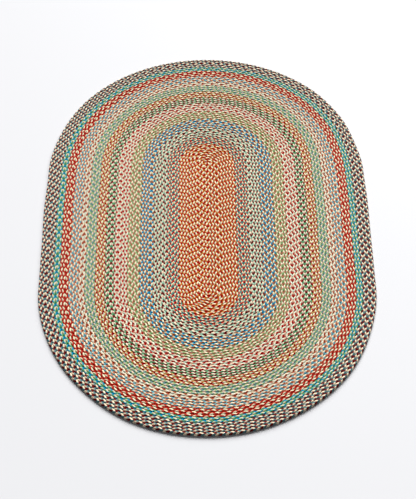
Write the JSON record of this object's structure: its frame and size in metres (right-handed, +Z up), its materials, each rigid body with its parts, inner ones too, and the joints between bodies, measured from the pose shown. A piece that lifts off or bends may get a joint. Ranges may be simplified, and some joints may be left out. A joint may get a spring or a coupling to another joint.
{
  "type": "braided rug",
  "caption": "Flat oval rug of multicoloured braid laced edge to edge in concentric rounds about a straight starting length, in bands of differently mixed yarns.",
  "frame": {"origin": "middle of the rug's box, on the plane that it lies on", "axes": "+Y along the rug's length, away from the viewer of the picture; +X across it to the viewer's right; +Z up out of the upper face"},
  "size_m": [1.2232, 1.8014, 0.0091],
  "materials": {
    "braided_yarn": "matt"
  },
  "bodies": {
    "root": {"braided_rug": "braided_yarn"}
  },
  "joints": []
}
